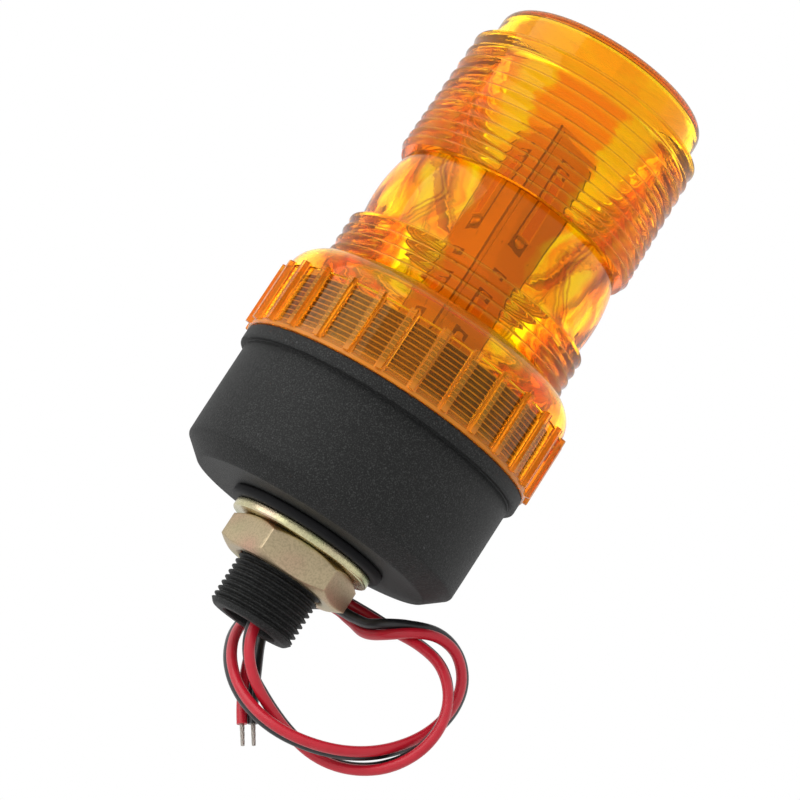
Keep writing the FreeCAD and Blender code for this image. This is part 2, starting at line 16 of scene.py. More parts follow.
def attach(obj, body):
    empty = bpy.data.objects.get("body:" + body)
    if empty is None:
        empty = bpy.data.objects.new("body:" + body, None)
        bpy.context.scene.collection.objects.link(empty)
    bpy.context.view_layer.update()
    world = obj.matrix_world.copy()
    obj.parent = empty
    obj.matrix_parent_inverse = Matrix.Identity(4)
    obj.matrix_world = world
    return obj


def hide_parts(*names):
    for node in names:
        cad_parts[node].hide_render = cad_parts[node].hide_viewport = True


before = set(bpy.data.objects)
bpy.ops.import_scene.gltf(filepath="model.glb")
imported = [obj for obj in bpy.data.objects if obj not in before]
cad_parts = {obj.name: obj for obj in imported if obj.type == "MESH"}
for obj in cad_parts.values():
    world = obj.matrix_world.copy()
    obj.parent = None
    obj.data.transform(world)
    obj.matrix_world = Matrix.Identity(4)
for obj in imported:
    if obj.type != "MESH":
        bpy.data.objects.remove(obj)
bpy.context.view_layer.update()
MM = 0.001

# %% [markdown]
# ## Camera
# The beacon is seen a little from below with a long lens, and the camera is
# rolled so that the beacon leans to the right. A quaternion that tracks a
# target gives the aim, and a turn about the camera's own Z axis gives the
# roll, which is simpler to change than three Euler angles.

# %% Place the camera
CAMERA_AT = Vector((0.0, -0.70502, -0.10194))
CAMERA_TARGET = Vector((0.00108, 0.0, 0.04073))
CAMERA_ROLL = math.radians(32.94)
FOCAL_LENGTH = 135.88
camera_data = bpy.data.cameras.new("studio_camera")
camera_data.lens = FOCAL_LENGTH
camera_data.sensor_width = 36.0
camera_data.clip_start = 0.01
camera = bpy.data.objects.new("studio_camera", camera_data)
bpy.context.scene.collection.objects.link(camera)
aim = (CAMERA_TARGET - CAMERA_AT).to_track_quat("-Z", "Y")
camera.rotation_mode = "QUATERNION"
camera.rotation_quaternion = aim @ Quaternion((0, 0, 1), CAMERA_ROLL)
camera.location = CAMERA_AT
bpy.context.scene.camera = camera
print("camera distance", round((CAMERA_TARGET - CAMERA_AT).length, 4))

# %% [markdown]
# ## The supply lead's route
# The lead is limp and keeps the loose shape that it was packed in: it leaves
# the stem's bore, goes round two turns of unequal size and ends bare. One
# NURBS spline carries it. Its control points are listed in millimetres, and
# order 3 makes the curve pass smoothly near each of them.

# %% Lay the route
LEAD_ROUTE = [
    (0, 0, -4), (0.5, 0.2, -12), (0.2, -0.5, -20), (1.8, -1.6, -27.6),
    (6.4, -1.8, -33.2), (13.2, 0.2, -36.8), (21.4, 2.2, -39.8),
    (30, 2.8, -41.2), (38.2, 1.6, -39.4), (45.2, -0.8, -34.6),
    (49.6, -2.8, -27.6), (50.8, -2.8, -19.6), (48.6, -0.6, -12.2),
    (43.6, 2.8, -6.8), (36.8, 7.2, -4.9), (29.6, 12.8, -4.8),
    (22.6, 19, -4), (15.2, 24.8, -3.6), (8, 28.4, -6.2),
    (2.2, 28.8, -11.8), (-1, 26.2, -18), (-2, 20.8, -23.6),
    (-1.2, 14.2, -28.6), (1.4, 8, -33.4), (5.8, 2.4, -37.6),
    (11.8, -2.2, -40.4), (19, -5.2, -41.4), (26.6, -6, -40.4),
    (34, -4.6, -37.8), (40.6, -1.6, -33.6), (46, 2, -28),
    (50, 5.2, -21.4), (51.8, 7.6, -14), (50.6, 8.6, -6.8),
    (45.8, 8, -1.6), (39.4, 6.2, -0.4), (33.2, 4.8, -3),
    (27.8, 6.6, -6.4), (24.2, 11.4, -8.4), (20.2, 16.8, -7.6),
    (14.6, 20.8, -6.6), (8.6, 23.2, -9), (4.6, 23, -14.4),
    (3, 20.4, -20.2), (4, 15.6, -25.6), (6, 11, -30.8),
    (8.2, 7.8, -35.8), (10.2, 6.2, -39.8), (12.4, 5.6, -43),
]
route_data = bpy.data.curves.new("lead_route", "CURVE")
route_data.dimensions = "3D"
route_data.resolution_u = 8
route_spline = route_data.splines.new("NURBS")
route_spline.points.add(len(LEAD_ROUTE) - 1)
for spot, control in zip(route_spline.points, LEAD_ROUTE):
    spot.co = (*(Vector(control) * MM), 1.0)
route_spline.order_u = 3
route_spline.use_endpoint_u = True
route_object = bpy.data.objects.new("lead_route", route_data)
bpy.context.scene.collection.objects.link(route_object)
bpy.context.view_layer.update()
route_mesh = bpy.data.meshes.new_from_object(route_object)
lead_path = [vert.co.copy() for vert in route_mesh.vertices]
bpy.data.objects.remove(route_object)
lead_length = sum((b - a).length for a, b in zip(lead_path, lead_path[1:]))
print("lead length", round(lead_length, 4), "stations", len(lead_path))

# %% [markdown]
# ## Two bonded cores
# The lead is a flat twin: a red and a black core moulded side by side. Each
# core is a round tube whose centre line runs half the cores' spacing beside
# the route. The red core lies in front of the black one round both turns, and
# the twin rolls half over beside the nut. A table of angles against the share
# of the way says how it lies, which is easier to change than a twist.

# %% Offset the cores from the route
CORE_DIAMETER = 2.62 * MM
CORE_SPACING = 2.60 * MM
LAY_TURNS = [
    (0.0, 72), (0.05, 72), (0.10, 105), (0.20, 105), (0.28, 76), (0.36, 70),
    (0.45, 80), (0.58, 76), (0.76, 72), (0.795, 45), (0.82, -15), (0.845, -75),
    (0.88, -110), (0.93, -115), (0.97, -172), (1.0, -180),
]


def blend_table(table, share):
    """Value of a table of (share, value) rows at a share, in straight steps."""
    for (low, first), (high, second) in zip(table, table[1:]):
        if share <= high:
            step = (share - low) / (high - low)
            return first + (second - first) * max(0.0, step)
    return table[-1][1]


def core_line(side):
    """Centre line of one core, beside the route on the given side."""
    line = []
    walked = 0.0
    for index, spot in enumerate(lead_path):
        before = lead_path[max(index - 1, 0)]
        after = lead_path[min(index + 1, len(lead_path) - 1)]
        walked += (spot - before).length
        along = (after - before).normalized()
        flat = along.cross(Vector((0, 1, 0))).normalized()
        turn = math.radians(blend_table(LAY_TURNS, walked / lead_length))
        flat.rotate(Quaternion(along, turn))
        line.append(spot + flat * side * CORE_SPACING / 2)
    return line


red_line, black_line = core_line(1), core_line(-1)
print("core lines", len(red_line), "and", len(black_line), "points")

# %% [markdown]
# ## Shader arithmetic
# A finish is a small graph of nodes. Writing it as expressions keeps it
# short: a Wire wraps one output socket, and + - * on it add Math nodes.
# Every other node comes from one method that takes its type, its settings
# and its inputs. The same class builds the world's nodes.

# %% A socket that does arithmetic
class Wire:
    """One output socket whose arithmetic adds Math nodes."""

    def __init__(self, finish, socket):
        self.finish, self.socket = finish, socket

    def __add__(self, other):
        return self.finish.math("ADD", self, other)

    __radd__ = __add__

    def __sub__(self, other):
        return self.finish.math("SUBTRACT", self, other)

    def __rsub__(self, other):
        return self.finish.math("SUBTRACT", other, self)

    def __mul__(self, other):
        return self.finish.math("MULTIPLY", self, other)

    __rmul__ = __mul__

    def clamped(self):
        return self.finish.math("ADD", self, 0.0, clamp=True)


# %% A finish and its nodes
VEIL_ROUGHNESS, VEIL_SPECULAR = 0.22, 0.35


class Finish:
    """A material, or the world, and the nodes that make it."""

    def __init__(self, name, owner=None):
        self.owner = owner or bpy.data.materials.new(name)
        self.owner.use_nodes = True
        self.tree = self.owner.node_tree
        self.tree.nodes.clear()

    def node(self, kind, inputs=None, out=0, stops=None, **settings):
        """Adds a node: settings first, then the values or links of its sockets."""
        made = self.tree.nodes.new(kind)
        for key, value in settings.items():
            setattr(made, key, value)
        if stops:
            ramp = made.color_ramp.elements
            while len(ramp) < len(stops):
                ramp.new(1.0)
            for element, (place, colour) in zip(ramp, stops):
                element.position = place
                element.color = (*colour, 1.0)
        for key, value in (inputs or {}).items():
            target = made.inputs[key]
            if isinstance(value, Wire):
                self.tree.links.new(value.socket, target)
            else:
                target.default_value = value
        return Wire(self, made.outputs[out]) if made.outputs else None

    def math(self, operation, first, second=0.0, clamp=False):
        return self.node("ShaderNodeMath", {0: first, 1: second},
                         operation=operation, use_clamp=clamp)

    def place(self):
        """Object coordinates, in metres."""
        return self.node("ShaderNodeTexCoord", out="Object")

    def split(self, vector):
        """The three numbers of a vector."""
        parts = self.node("ShaderNodeSeparateXYZ", {0: vector}).socket.node
        return [Wire(self, part) for part in parts.outputs]

    def painted(self, name):
        """A number that the piece's own mesh holds at each point."""
        return self.node("ShaderNodeAttribute", out="Fac", attribute_name=name)

    def grain(self, scale, detail=3.0, stretch=None):
        """Noise with about `scale` lumps to the metre, from 0 to 1."""
        where = self.place()
        if stretch:
            where = self.node("ShaderNodeMapping", {"Vector": where, "Scale": stretch})
        return self.node("ShaderNodeTexNoise",
                         {"Vector": where, "Scale": scale, "Detail": detail})

    def ramp(self, value, stops):
        """A colour looked up in a list of (place, colour) stops."""
        return self.node("ShaderNodeValToRGB", {0: value}, stops=stops)

    def between(self, value, low, high):
        """0 below low, 1 above high, smooth between them."""
        return self.node("ShaderNodeMapRange",
                         {"Value": value, "From Min": low, "From Max": high},
                         interpolation_type="SMOOTHSTEP")

    def mix(self, share, first, second):
        """The first colour where share is 0, the second where it is 1."""
        def colour(item):
            return item if isinstance(item, Wire) else (*item, 1.0)
        return self.node("ShaderNodeMix", {0: share, 6: colour(first), 7: colour(second)},
                         out=2, data_type="RGBA")

    def bump(self, height, distance, strength):
        return self.node("ShaderNodeBump", {"Height": height, "Distance": distance,
                                            "Strength": strength})

    def surface(self, absorb=None, veil=None, **sockets):
        """Ends the graph in a Principled shader; names use _ for a space.

        A veil is a share and a colour: that share of the light is scattered
        by a plain shader instead of passing through. Absorb is a colour and a
        density, for what the light loses on its way through a thick wall.
        """
        named = {}
        for key, value in sockets.items():
            label = key.replace("_", " ").title().replace("Ior", "IOR")
            if isinstance(value, tuple):
                value = (*value, 1.0)
            named[label] = value
        shader = self.node("ShaderNodeBsdfPrincipled", named)
        if veil:
            share, colour = veil
            cloudy = self.node("ShaderNodeBsdfPrincipled", {
                "Base Color": colour, "Roughness": VEIL_ROUGHNESS,
                "Specular IOR Level": VEIL_SPECULAR, "Normal": named["Normal"]})
            shader = self.node("ShaderNodeMixShader", {0: share, 1: shader, 2: cloudy})
        ends = {"Surface": shader}
        if absorb:
            ends["Volume"] = self.node("ShaderNodeVolumeAbsorption",
                                       {"Color": (*absorb[:3], 1.0), "Density": absorb[3]})
        self.node("ShaderNodeOutputMaterial", ends)
        print("finish", self.owner.name, "nodes", len(self.tree.nodes))
        return self.owner


# %% [markdown]
# ## Studio
# The beacon hangs over a plain pale floor in soft white light. The world is
# white where the camera or the clear lens looks at it, dimmer in a reflection
# and dimmer still as a light, so that colours keep their depth. A wide lamp on
# each side gives the black base its faint shine. One in front and two behind
# fill the lens; they are kept out of reflections, where they would show as
# pale squares.

# %% View and world
scene = bpy.context.scene
scene.view_settings.view_transform = "Standard"
scene.cycles.max_bounces = 24
scene.cycles.transmission_bounces = 24
scene.cycles.glossy_bounces = 8
scene.cycles.caustics_refractive = True
scene.cycles.caustics_reflective = True

REFLECTION_SHARE, LIGHT_SHARE = 0.6, 0.45
scene.world = bpy.data.worlds.new("studio")
room = Finish("studio", scene.world)
camera_ray, clear_ray, glossy_ray = (
    room.node("ShaderNodeLightPath", out=f"Is {kind} Ray")
    for kind in ("Camera", "Transmission", "Glossy"))
seen = room.math("MAXIMUM", room.math("MAXIMUM", camera_ray, clear_ray),
                 glossy_ray * REFLECTION_SHARE)
strength = room.node("ShaderNodeMapRange",
                     {"Value": seen, "To Min": LIGHT_SHARE, "To Max": 1.0})
white = room.node("ShaderNodeBackground",
                  {"Color": (1.0, 1.0, 1.0, 1.0), "Strength": strength})
room.node("ShaderNodeOutputWorld", {"Surface": white})
print("world nodes", len(room.tree.nodes))

# %% Lamps
# Each row: name, place, target, size, watts, and whether reflections show it.
LAMPS = [
    ("left_lamp", (-1.3, -0.6, 0.40), (0, 0, 0.05), 1.5, 10.0, True),
    ("right_lamp", (1.3, 0.1, 0.85), (0, 0, 0.06), 1.4, 2.0, True),
    ("front_lamp", (-0.35, -1.3, 0.45), (0, 0, 0.08), 1.1, 7.0, False),
    ("rear_lamp", (-0.75, 0.95, 0.35), (0, 0, 0.08), 1.0, 6.0, False),
    ("rear_lamp", (0.75, 0.95, 0.35), (0, 0, 0.08), 1.0, 6.0, False),
]
for name, place, target, size, watts, mirrored in LAMPS:
    lamp_data = bpy.data.lights.new(name, "AREA")
    lamp_data.shape = "SQUARE"
    lamp_data.size = size
    lamp_data.energy = watts
    lamp = bpy.data.objects.new(name, lamp_data)
    scene.collection.objects.link(lamp)
    lamp.location = place
    lamp.rotation_mode = "QUATERNION"
    lamp.rotation_quaternion = (Vector(target) - Vector(place)).to_track_quat("-Z", "Y")
    lamp.visible_glossy = mirrored
print("lamps", len(LAMPS))

# %% Floor
FLOOR_LEVEL, FLOOR_SIZE = -0.45, 1.5
floor_mesh = bpy.data.meshes.new("studio_floor")
floor_bmesh = bmesh.new()
bmesh.ops.create_grid(floor_bmesh, x_segments=2, y_segments=2, size=FLOOR_SIZE,
                      matrix=Matrix.Translation((0, 0, FLOOR_LEVEL)))
floor_bmesh.to_mesh(floor_mesh)
floor_bmesh.free()
floor = bpy.data.objects.new("studio_floor", floor_mesh)
scene.collection.objects.link(floor)
floor_finish = Finish("pale_floor")
floor_speck = floor_finish.grain(40.0)
floor_mesh.materials.append(floor_finish.surface(
    base_color=floor_finish.mix(floor_speck, (0.78, 0.78, 0.78), (0.82, 0.82, 0.82)),
    roughness=0.7))

# %% [markdown]
# ## Black moulded plastic
# The base is glass-filled nylon from a spark-eroded mould: nearly black, with
# a fine even grain that scatters the light and a few pale specks of dust.
# Grain at two sizes feeds a bump, a third lifts the colour on its high spots
# as painted glints of the grain's sparkle, and a sparse one does so where a
# speck of dust sits. The neck thread's crests are painted paler as a highlight
# and made a little smoother, and the mesh says where they are.

# %% Finish: black moulding
def black_moulding():
    made = Finish("spark_eroded_black")
    fine = made.grain(4200.0, detail=2.0)
    coarse = made.grain(1300.0, detail=3.0)
    cloud = made.grain(45.0, detail=2.0)
    # Painted glints: the grain's high spots are drawn paler, for its sparkle.
    painted_grain_glints = made.between(made.grain(3100.0, detail=3.0), 0.44, 0.80)
    dust = made.between(made.grain(900.0, detail=1.0), 0.76, 0.79)
    crest = made.painted("painted_crest_highlight")
    tone = made.mix(cloud, (0.0040, 0.0042, 0.0042), (0.0070, 0.0073, 0.0071))
    tone = made.mix(painted_grain_glints, tone, (0.050, 0.052, 0.050))
    tone = made.mix(dust * 0.4, tone, (0.10, 0.10, 0.105))
    # Painted highlight: the neck thread's crests are drawn paler.
    tone = made.mix(crest, tone, (0.060, 0.058, 0.054))
    return made.surface(
        base_color=tone, specular_ior_level=0.30,
        roughness=(cloud * 0.1 + fine * 0.12 + 0.46 - crest * 0.12).clamped(),
        normal=made.bump(fine * 0.5 + coarse * 0.5, 0.00022, 1.0))


black_plastic = black_moulding()

# %% [markdown]
# ## Threads and a turned shell
# The base, its neck and the hollow stem are one moulding. A profile of a few
# dozen points is spun round the axis, with close rows where a thread lies.
# The rows are then drawn in by a trapezoid wave that climbs one pitch a turn
# for each of the thread's starts, which gives a true helix without any
# separate thread mesh.

# %% Helpers for turned pieces
TAU, WELD = math.tau, 1e-7
ON_WALL, ON_ROW = 0.01, 0.001
CREST_SHARE, FLANK_SHARE = 0.16, 0.34


def spin_profile(profile, steps):
    """Spins a closed loop of (radius, height) points, in mm, round the Z axis."""
    bm = bmesh.new()
    spots = [bm.verts.new((radius * MM, 0.0, height * MM)) for radius, height in profile]
    edges = [bm.edges.new(pair) for pair in zip(spots, spots[1:] + spots[:1])]
    bmesh.ops.spin(bm, geom=spots + edges, cent=(0, 0, 0), axis=(0, 0, 1),
                   angle=TAU, steps=steps, use_merge=True, use_duplicate=False)
    bmesh.ops.remove_doubles(bm, verts=bm.verts, dist=WELD)
    bmesh.ops.recalc_face_normals(bm, faces=bm.faces)
    return bm


def rows(radius, start, end, step):
    """Points up a straight wall at one radius, both ends included."""
    count = max(1, round(abs(end - start) / step))
    return [(radius, start + (end - start) * k / count) for k in range(count + 1)]


def arc_points(centre, radius, start, end, count):
    """Points of an arc, angles in degrees from the outward direction."""
    made = []
    for k in range(count + 1):
        angle = math.radians(start + (end - start) * k / count)
        made.append((centre[0] + radius * math.cos(angle),
                     centre[1] + radius * math.sin(angle)))
    return made


def thread_wave(share):
    """Depth share of a 60 degree thread: 0 on the crest, 1 in the root."""
    share = share % 1.0
    if share < CREST_SHARE:
        return 0.0
    if share < CREST_SHARE + FLANK_SHARE:
        return (share - CREST_SHARE) / FLANK_SHARE
    if share < 1.0 - FLANK_SHARE:
        return 1.0
    return (1.0 - share) / FLANK_SHARE


def thread_depth(spot, pitch, starts):
    """Depth share of a right-hand thread at a point of its wall."""
    angle = math.atan2(spot.y, spot.x) / TAU
    return thread_wave(spot.z / MM / pitch - angle * starts)


def cut_thread(bm, crest_radius, low, high, pitch, depth, fade, starts=1):
    """Draws the rows of one wall in along one or more right-hand helices."""
    moved = 0
    for vert in bm.verts:
        radius = math.hypot(vert.co.x, vert.co.y) / MM
        height = vert.co.z / MM
        if abs(radius - crest_radius) > ON_WALL or not low - ON_ROW <= height <= high + ON_ROW:
            continue
        edge = min(1.0, (height - low) / fade, (high - height) / fade)
        new_radius = crest_radius - depth * thread_depth(vert.co, pitch, starts) * max(0.0, edge)
        vert.co.x *= new_radius / radius
        vert.co.y *= new_radius / radius
        moved += 1
    return moved


# %% [markdown]
# ## Moulded base
# From the stem's tip up: the plain bevelled end, the M22 x 1.5 thread, the
# flat underside, a soft crease and a slightly drafted wall, the lip that the
# lens seats on, and the neck with its two-start thread, whose crests are
# 1.25 mm apart and which lifts the lens 2.5 mm a turn. The inside is a plain
# 2.4 mm wall with three bosses for the driver board.

# %% Draw and spin the base
BASE_STEPS = 168
STEM_CREST, STEM_LOW, STEM_HIGH = 11.0, -22.9, 2.0
STEM_PITCH, STEM_DEPTH, STEM_FADE = 1.5, 0.9, 0.35
NECK_CREST, NECK_LOW, NECK_HIGH = 36.0, 38.7, 50.2
NECK_PITCH, NECK_STARTS, NECK_DEPTH, NECK_FADE = 1.25, 2, 0.6, 0.4
base_profile = [(6.9, -23.6), (7.3, -24.0), (9.9, -24.0), (10.25, -23.75)]
base_profile += rows(STEM_CREST, STEM_LOW, STEM_HIGH, STEM_PITCH / 12)
base_profile += [(STEM_CREST, 2.4), (20.0, 2.4), (30.8, 2.4)]
base_profile += arc_points((31.1, 3.6), 1.2, -90, -50, 4)
base_profile += arc_points((35.3, 7.4), 1.45, -42, -4, 5)
base_profile += [(36.82, 12.0), (36.86, 20.0), (36.9, 30.9)]
base_profile += [(36.75, 31.15), (36.75, 31.55), (36.95, 31.75)]
base_profile += arc_points((37.95, 32.15), 0.45, -90, 0, 3)
base_profile += [(38.4, 33.0), (38.4, 34.6)]
base_profile += arc_points((38.0, 34.9), 0.4, 0, 90, 3)
base_profile += [(35.4, 35.3), (35.1, 35.5), (35.1, 38.2)]
base_profile += rows(NECK_CREST, NECK_LOW, NECK_HIGH, NECK_PITCH / 8)
base_profile += [(35.2, 50.9), (33.0, 50.9), (32.7, 50.6)]
base_profile += [(32.7, 31.7), (34.35, 29.3), (34.35, 10.1), (30.25, 5.6)]
base_profile += [(7.4, 5.6), (6.9, 5.2)]
base_bmesh = spin_profile(base_profile, BASE_STEPS)
print("base section", len(base_profile), "points")

# %% Cut the threads and mark the neck's crests
HIGHLIGHT_ABOVE, HIGHLIGHT_BEYOND, HIGHLIGHT_FADE = 38.3, 35.0, 6.0
stem_rows = cut_thread(base_bmesh, STEM_CREST, STEM_LOW, STEM_HIGH, STEM_PITCH,
                       STEM_DEPTH, STEM_FADE)
neck_rows = cut_thread(base_bmesh, NECK_CREST, NECK_LOW, NECK_HIGH, NECK_PITCH,
                       NECK_DEPTH, NECK_FADE, NECK_STARTS)
print("thread points", stem_rows, neck_rows)
# This layer says how much painted highlight each point of the neck's crests gets.
painted_crest_highlight = base_bmesh.verts.layers.float.new("painted_crest_highlight")
for vert in base_bmesh.verts:
    reach = math.hypot(vert.co.x, vert.co.y) / MM
    if vert.co.z / MM > HIGHLIGHT_ABOVE and reach > HIGHLIGHT_BEYOND:
        wave = thread_depth(vert.co, NECK_PITCH, NECK_STARTS)
        vert[painted_crest_highlight] = max(0.0, 1.0 - wave * HIGHLIGHT_FADE)

# %% Helpers for every piece
def finish_piece(bm, name, body, materials, stands_for, crease):
    """Turns a bmesh into a shaded piece that rides on a body of the frame."""
    mesh = bpy.data.meshes.new(name)
    for face in bm.faces:
        face.smooth = True
    bm.to_mesh(mesh)
    bm.free()
    mesh.set_sharp_from_angle(angle=math.radians(crease))
    piece = bpy.data.objects.new(name, mesh)
    bpy.context.scene.collection.objects.link(piece)
    for material in materials:
        mesh.materials.append(material)
    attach(piece, body)
    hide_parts(*stands_for)
    print(name, "faces", len(mesh.polygons))
    return piece


def placed(middle, size):
    """The matrix that fits a unit shape to a place and a size, both in mm."""
    return (Matrix.Translation([value * MM for value in middle])
            @ Matrix.Diagonal([*(value * MM for value in size), 1.0]))


# %% Add the bosses and their webs
BOSSES = 3
for number in range(BOSSES):
    around = Matrix.Rotation(math.radians(360 / BOSSES * number), 4, "Z")
    bmesh.ops.create_cone(base_bmesh, cap_ends=True, segments=32,
                          radius1=3.6 * MM, radius2=3.5 * MM, depth=34.4 * MM,
                          matrix=around @ Matrix.Translation((27 * MM, 0, 22.79 * MM)))
    bmesh.ops.create_cube(base_bmesh, size=1.0,
                          matrix=around @ placed((32.4, 0, 16.3), (4.4, 1.6, 21.4)))
finish_piece(base_bmesh, "moulded_base", "base", [black_plastic],
             ["base_housing"], crease=38)

# %% [markdown]
# ## Gasket, washer and nut
# The gasket is a soft, matt black ring. The washer and the nut are zinc
# plated and passivated: the film is only a fraction of a micrometre thick, so
# it shows pale yellow with drifts of pink and green. Two slow noises lay a
# flush and a tint over the plain colour with wide soft edges, because hard
# ones would look like contour lines, and a fine one darkens it in specks.

# %% Finishes: gasket rubber and passivated zinc
def gasket_rubber():
    made = Finish("gasket_rubber_black")
    fine = made.grain(2600.0, detail=2.0)
    cloud = made.grain(90.0)
    return made.surface(
        base_color=made.mix(cloud, (0.008, 0.008, 0.009), (0.016, 0.016, 0.017)),
        roughness=(cloud * 0.18 + 0.50).clamped(), specular_ior_level=0.2,
        normal=made.bump(fine, 0.00004, 0.5))


def passivated_zinc(name, plain, flush, tint, rough):
    made = Finish(name)
    drift = made.grain(70.0, detail=1.0, stretch=(1.0, 1.0, 1.6))
    other = made.grain(55.0, detail=1.0, stretch=(1.3, 0.8, 1.6))
    speck = made.grain(2200.0, detail=2.0)
    tool = made.grain(1500.0, detail=2.0, stretch=(0.35, 0.35, 3.0))
    tone = made.mix(made.between(drift, 0.42, 0.70), plain, flush)
    tone = made.mix(made.between(other, 0.48, 0.72), tone, tint)
    dark = tuple(value * 0.45 for value in plain)
    tone = made.mix(made.between(speck, 0.38, 0.70) * 0.35, tone, dark)
    return made.surface(
        base_color=tone, metallic=1.0,
        roughness=(speck * 0.14 + tool * 0.10 + rough).clamped(),
        normal=made.bump(tool * 0.4 + speck * 0.6, 0.00006, 0.6))


rubber_black = gasket_rubber()
washer_zinc = passivated_zinc("washer_zinc", (0.76, 0.70, 0.42), (0.66, 0.44, 0.36),
                              (0.38, 0.50, 0.22), 0.14)
nut_zinc = passivated_zinc("nut_zinc", (0.57, 0.46, 0.29), (0.60, 0.38, 0.27),
                           (0.45, 0.42, 0.24), 0.27)

# %% Model the gasket and the washer
RING_STEPS = 144
gasket_profile = [(11.5, 0.3), (11.8, 0.02), (19.9, 0.0)]
gasket_profile += arc_points((19.8, 0.7), 0.68, -75, 0, 4)
gasket_profile += arc_points((19.8, 1.7), 0.66, 0, 85, 4)
gasket_profile += [(11.8, 2.38), (11.5, 2.1)]
finish_piece(spin_profile(gasket_profile, RING_STEPS), "seat_gasket", "base",
             [rubber_black], ["base_gasket"], crease=60)
washer_profile = [(11.35, -2.1), (11.6, -2.32), (17.6, -2.32)]
washer_profile += arc_points((18.05, -1.87), 0.45, -90, 0, 3)
washer_profile += arc_points((18.1, -0.42), 0.4, 0, 90, 3)
washer_profile += [(11.6, -0.02), (11.35, -0.25)]
finish_piece(spin_profile(washer_profile, RING_STEPS), "plated_washer", "washer",
             [washer_zinc], ["flat_washer"], crease=40)

# %% [markdown]
# ## Hexagon nut
# A six-sided cone primitive gives the blank's sides, and a grid subdivision
# gives them points to move. Both ends of a real nut are turned by a cone, so
# its corners fall away in curved arcs: each point's height is scaled to what
# that cone leaves at its radius. The end faces and the bore are then made by
# extruding the open rims inwards, and the sharp edges get a fine bevel.

# %% Model the nut
NUT_TOP, NUT_BOTTOM = -2.34, -10.84
NUT_MIDDLE, NUT_HALF = (NUT_TOP + NUT_BOTTOM) / 2, (NUT_TOP - NUT_BOTTOM) / 2
NUT_FLAT, NUT_TURN = 15, math.radians(-24.5)
NUT_FACE_RADIUS, NUT_CONE = 14.4, 0.514
NUT_SHARP = math.radians(18)


def ring_in(bm, rim, radius, height):
    """Extrudes an open rim of edges and sets the new rim's radius and height."""
    made = bmesh.ops.extrude_edge_only(bm, edges=rim)["geom"]
    fresh = {item for item in made if isinstance(item, bmesh.types.BMVert)}
    for vert in fresh:
        now = math.hypot(vert.co.x, vert.co.y)
        vert.co.x *= radius * MM / now
        vert.co.y *= radius * MM / now
        vert.co.z = height * MM
    return [item for item in made if isinstance(item, bmesh.types.BMEdge)
            and item.verts[0] in fresh and item.verts[1] in fresh]


nut_bmesh = bmesh.new()
nut_place = (Matrix.Translation((0, 0, NUT_MIDDLE * MM))
             @ Matrix.Rotation(NUT_TURN, 4, "Z"))
nut_corner = NUT_FLAT * MM / math.cos(math.radians(30))
bmesh.ops.create_cone(nut_bmesh, cap_ends=False, segments=6,
                      radius1=nut_corner, radius2=nut_corner,
                      depth=2 * NUT_HALF * MM, matrix=nut_place)
bmesh.ops.subdivide_edges(nut_bmesh, edges=nut_bmesh.edges[:], cuts=11, use_grid_fill=True)
for vert in nut_bmesh.verts:
    reach = math.hypot(vert.co.x, vert.co.y) / MM
    share = (vert.co.z / MM - NUT_MIDDLE) / NUT_HALF
    left = NUT_HALF - max(0.0, reach - NUT_FACE_RADIUS) * NUT_CONE
    vert.co.z = (NUT_MIDDLE + share * left) * MM
open_rims = [edge for edge in nut_bmesh.edges if edge.is_boundary]
last_rims = []
for side, face_height in ((1, NUT_TOP), (-1, NUT_BOTTOM)):
    rim = [edge for edge in open_rims
           if (edge.verts[0].co.z / MM - NUT_MIDDLE) * side > 0]
    rim = ring_in(nut_bmesh, rim, NUT_FACE_RADIUS, face_height)
    rim = ring_in(nut_bmesh, rim, 12.1, face_height)
    rim = ring_in(nut_bmesh, rim, 11.12, face_height - side * 0.7)
    last_rims += rim
bmesh.ops.bridge_loops(nut_bmesh, edges=last_rims)
bmesh.ops.recalc_face_normals(nut_bmesh, faces=nut_bmesh.faces)
nut_edges = [edge for edge in nut_bmesh.edges
             if len(edge.link_faces) == 2 and edge.calc_face_angle(0) > NUT_SHARP]
bmesh.ops.bevel(nut_bmesh, geom=nut_edges, offset=0.14 * MM, segments=2, profile=0.5,
                affect="EDGES", material=-1, clamp_overlap=True)
finish_piece(nut_bmesh, "plated_nut", "nut", [nut_zinc], ["hex_nut"],
             crease=50)

# %% [markdown]
# ## Amber lens
# The lens is one injection moulding in clear amber polycarbonate. Its wall
# bends the room into streaks of yellow, orange and brown, far more than the
# plain world round it holds. Some come from the shape: the wall's inside is
# wavy, as in a moulding. The rest are painted refraction: tints that change
# with the angle round the lens, in one list for the plain band and one for
# the teeth, shifted by noise so that their edges wander. The mesh says where
# the crests, the flat faces between teeth, the ribs and the bore are, and each
# has its own tint: a painted highlight on the crests, a painted dark line of
# shade on the flat faces, and pale painted lines on the bore for its thread,
# with its crests' highlights painted in. A veil of scattered light, thicker on
# the ribs, keeps them from vanishing.

# %% Tints of the lens
YELLOW, AMBER = (1.0, 0.82, 0.010), (1.0, 0.56, 0.008)
ORANGE, DEEP, BROWN = (1.0, 0.38, 0.006), (0.84, 0.24, 0.005), (0.45, 0.14, 0.006)
# Crests get a painted highlight; risers get a painted dark line of shade.
CREST_PAINTED_HIGHLIGHT, RISER_PAINTED_SHADE, CAP_TINT = (1.0, 0.84, 0.10), (0.46, 0.11, 0.003), (1.0, 0.66, 0.014)
COLLAR_TINT, GRIP_TINT, BORE_THREAD_HIGHLIGHT = (1.0, 0.46, 0.030), (1.0, 0.36, 0.035), (1.0, 0.66, 0.16)
WALL_LOSS, GLINT_TINT = (1.0, 0.86, 0.30, 150.0), (1.0, 0.62, 0.25)
